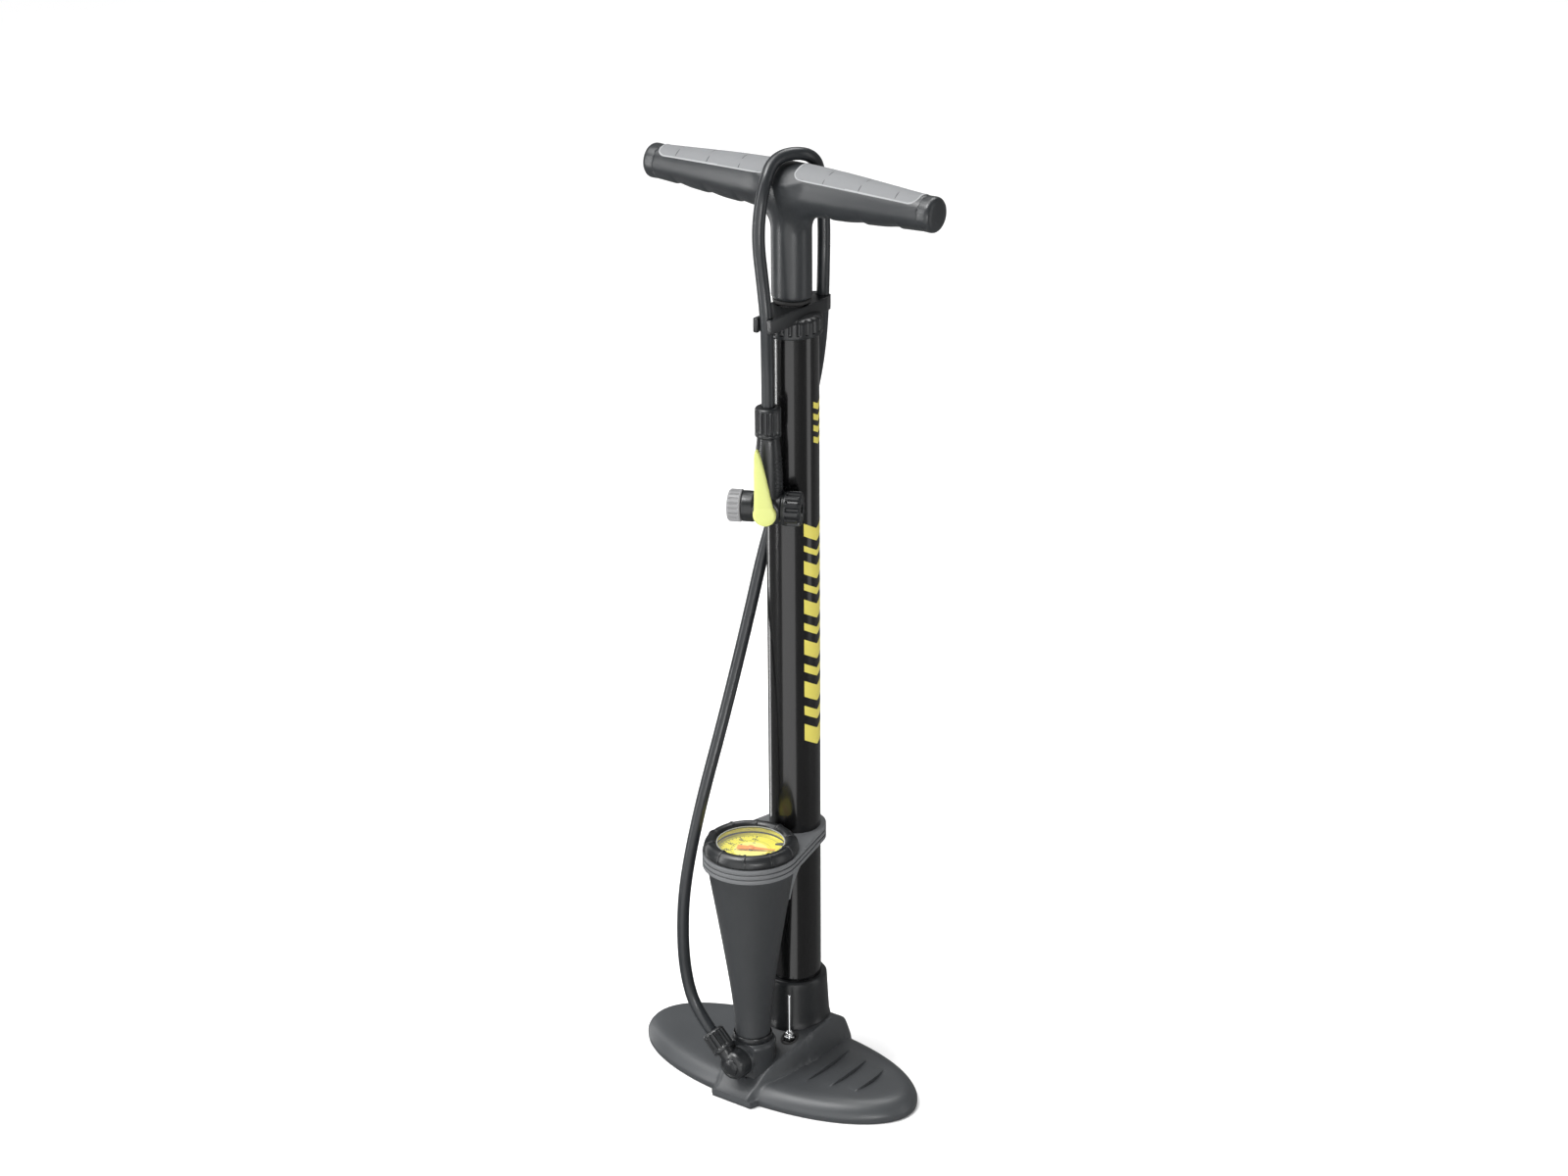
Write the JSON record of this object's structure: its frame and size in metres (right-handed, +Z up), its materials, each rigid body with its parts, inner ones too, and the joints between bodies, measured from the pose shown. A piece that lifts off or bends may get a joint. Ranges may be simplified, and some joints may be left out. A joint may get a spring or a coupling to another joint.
{
  "type": "bicycle floor pump",
  "caption": "Upright bicycle floor pump: oval foot base, slim barrel, T handle on a plunger, funnel gauge column and a stored hose with a twin-valve head.",
  "frame": {"origin": "on the floor, on the barrel's axis, at the underside of the socket's spigot", "axes": "+Z up along the barrel, X along the handle and the long way of the base, -Y towards the gauge column"},
  "size_m": [0.243, 0.1256, 0.7094],
  "materials": {
    "base_plastic": "satin moulded grey-black",
    "black_plastic": "satin moulded black",
    "black_gloss": "gloss black",
    "column_plastic": "satin charcoal",
    "light_grey": "satin light grey",
    "grip_grey": "soft matt light grey",
    "yellow": "satin yellow",
    "orange": "gloss orange",
    "dial_yellow": "printed yellow face",
    "barrel_black": "gloss black lacquer on steel tube",
    "rubber_black": "matt black rubber",
    "hose_rubber": "satin black rubber hose",
    "chrome": "polished",
    "steel": "ground",
    "brass": "machined",
    "clear": "clear lens"
  },
  "bodies": {
    "stand": {"base_plate": "base_plastic", "barrel_socket": "black_plastic", "base_screws": "steel", "barrel_gasket": "rubber_black", "check_valve_seat": "brass", "check_valve_spring": "steel", "air_duct": "rubber_black", "manifold": "black_plastic", "swivel_post": "brass", "swivel_seal": "rubber_black", "needle_holder": "rubber_black", "column_ring": "black_plastic", "gauge_column": "column_plastic", "gauge_bracket": "light_grey", "gauge_case": "black_plastic", "gauge_pipe": "brass", "gauge_socket": "brass", "bourdon_tube": "brass", "movement_plate": "brass", "gauge_dial": "dial_yellow", "barrel": "barrel_black", "barrel_cap": "black_plastic", "rod_bush": "light_grey", "top_bumper": "rubber_black", "stem_bumper": "rubber_black", "hose_dock": "black_plastic", "hose": "hose_rubber", "head_body": "black_plastic", "head_nut": "black_plastic", "presta_gasket": "rubber_black", "schrader_gasket": "rubber_black", "presta_cap": "light_grey", "schrader_cap": "black_plastic"},
    "plunger": {"handle_core": "black_plastic", "grip_inlay_left": "grip_grey", "grip_inlay_right": "grip_grey", "end_cap_left": "black_gloss", "end_cap_right": "black_gloss", "handle_bolt": "steel", "piston_rod": "chrome", "piston": "black_plastic", "piston_seal": "rubber_black", "piston_bolt": "steel"},
    "swivel": {"hose_swivel": "black_plastic", "swivel_nut": "black_plastic"},
    "lever": {"head_lever": "yellow", "lever_spindle": "steel"},
    "shuttle": {"head_shuttle": "light_grey"},
    "needle": {"gauge_needle": "orange", "needle_spindle": "steel"},
    "sector": {"sector_gear": "brass"},
    "bezel": {"bezel": "black_plastic", "gauge_lens": "clear", "target_marker": "black_gloss"},
    "valve_ball": {"check_valve_ball": "steel"},
    "ball_needle": {"ball_needle": "chrome"}
  },
  "joints": [
    {"name": "plunger_slide", "type": "slide", "parent": "stand", "child": "plunger", "axis": [0, 0, 1], "range_m": [0, 0.46], "deforming": ["hose"]},
    {"name": "swivel_turn", "type": "hinge", "parent": "stand", "child": "swivel", "pos_m": [0, -0.077, 0.03], "axis": [0, -1, 0], "range_deg": [-10, 40], "deforming": ["hose"]},
    {"name": "lever_flip", "type": "hinge", "parent": "stand", "child": "lever", "pos_m": [0.0038, -0.0341, 0.4582], "axis": [0.4226, -0.9063, 0], "range_deg": [-90, 90]},
    {"name": "shuttle_slide", "type": "slide", "parent": "stand", "child": "shuttle", "axis": [0.9063, 0.4226, 0], "range_m": [-0.002, 0.002]},
    {"name": "gauge_needle_turn", "type": "hinge", "parent": "stand", "child": "needle", "pos_m": [0, -0.0546, 0.199], "axis": [0, 0, -1], "range_deg": [0, 270], "stiffness_Nm_per_rad": 0.0005},
    {"name": "sector_turn", "type": "hinge", "parent": "stand", "child": "sector", "pos_m": [0.009, -0.0439, 0.187], "axis": [0, 0, -1], "range_deg": [-45, 1]},
    {"name": "bezel_turn", "type": "hinge", "parent": "stand", "child": "bezel", "pos_m": [0, -0.0546, 0.2], "axis": [0, 0, 1], "continuous": true},
    {"name": "valve_ball_slide", "type": "slide", "parent": "stand", "child": "valve_ball", "axis": [0, 0, -1], "range_m": [0, 0.002], "stiffness_N_per_m": 150, "springref_m": -0.002, "deforming": ["check_valve_spring"]},
    {"name": "ball_needle_lift", "type": "slide", "parent": "stand", "child": "ball_needle", "axis": [0, 0, 1], "range_m": [0, 0.04]}
  ],
  "couplings": [
    {"joint": "shuttle_slide", "follows": "lever_flip", "m_per_rad": -0.00127},
    {"joint": "sector_turn", "follows": "gauge_needle_turn", "ratio": -0.15857}
  ]
}
